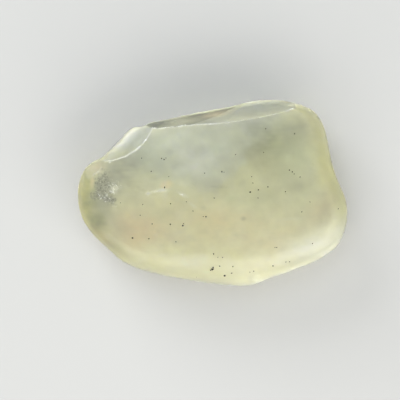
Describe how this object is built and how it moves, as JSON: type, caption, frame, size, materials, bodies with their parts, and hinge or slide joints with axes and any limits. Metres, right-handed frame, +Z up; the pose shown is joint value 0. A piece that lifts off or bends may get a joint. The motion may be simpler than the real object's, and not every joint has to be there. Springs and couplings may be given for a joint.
{
  "type": "libyan desert glass",
  "caption": "Palm-sized lump of pale yellow-green natural glass: a thick tablet with a worn rim and a flaked long edge, to lie on a shelf or table.",
  "frame": {"origin": "middle of the box round the stone, at its foot, on the surface it rests on", "axes": "+X along the length, towards the broad end; +Y towards the flaked long edge; +Z up, out of the broad front face"},
  "size_m": [0.064, 0.0443, 0.0193],
  "materials": {
    "desert_glass": "satin"
  },
  "bodies": {
    "root": {"desert_glass": "desert_glass"}
  },
  "joints": []
}
